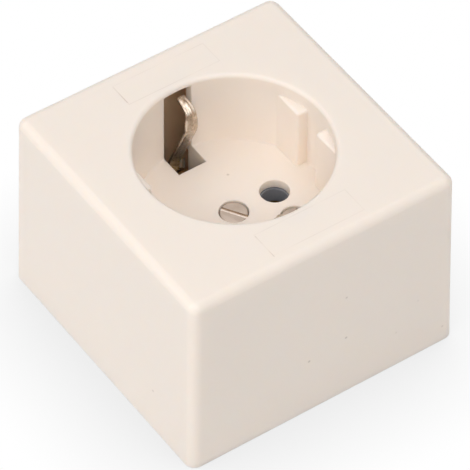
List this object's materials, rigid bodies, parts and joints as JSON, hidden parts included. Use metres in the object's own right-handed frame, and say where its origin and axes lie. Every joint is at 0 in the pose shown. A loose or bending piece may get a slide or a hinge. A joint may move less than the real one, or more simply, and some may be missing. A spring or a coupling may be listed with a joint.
{
  "type": "surface mounted socket",
  "caption": "Square surface mounted mains socket: one-piece cover with a round plug recess, pin holes, guide ribs and sprung side earth clips.",
  "frame": {"origin": "middle of the back, in the plane of the wall", "axes": "+Z out of the wall towards the plug, X through the two pins, +Y towards the cable entry (up when mounted)"},
  "size_m": [0.0616, 0.0616, 0.0437],
  "materials": {
    "cream_plastic": "satin",
    "grey_plastic": "matt",
    "blue_grey_plastic": "matt",
    "nickel": "satin nickel plate",
    "zinc": "zinc plate",
    "brass": "bright"
  },
  "bodies": {
    "housing": {"cover": "cream_plastic", "base_plate": "grey_plastic", "contact_carrier": "blue_grey_plastic", "pin_contact_left": "brass", "pin_contact_right": "brass", "earth_bar": "brass", "rivet_back": "zinc", "rivet_front": "zinc", "cover_screw": "nickel", "fixing_screw_left": "nickel", "fixing_screw_right": "nickel", "screw_bush_left": "brass", "screw_bush_right": "brass", "terminal_clamp_left": "zinc", "terminal_clamp_earth": "zinc", "terminal_clamp_right": "zinc", "terminal_screw_left": "zinc", "terminal_screw_earth": "zinc", "terminal_screw_right": "zinc"},
    "clip_back": {"earth_clip_back": "nickel"},
    "clip_front": {"earth_clip_front": "nickel"}
  },
  "joints": [
    {"name": "earth_clip_back_flex", "type": "hinge", "parent": "housing", "child": "clip_back", "pos_m": [0, 0.0208, 0.0168], "axis": [-1, 0, 0], "range_deg": [0, 5.5], "stiffness_Nm_per_rad": 1.2},
    {"name": "earth_clip_front_flex", "type": "hinge", "parent": "housing", "child": "clip_front", "pos_m": [0, -0.0208, 0.0168], "axis": [1, 0, 0], "range_deg": [0, 5.5], "stiffness_Nm_per_rad": 1.2}
  ]
}
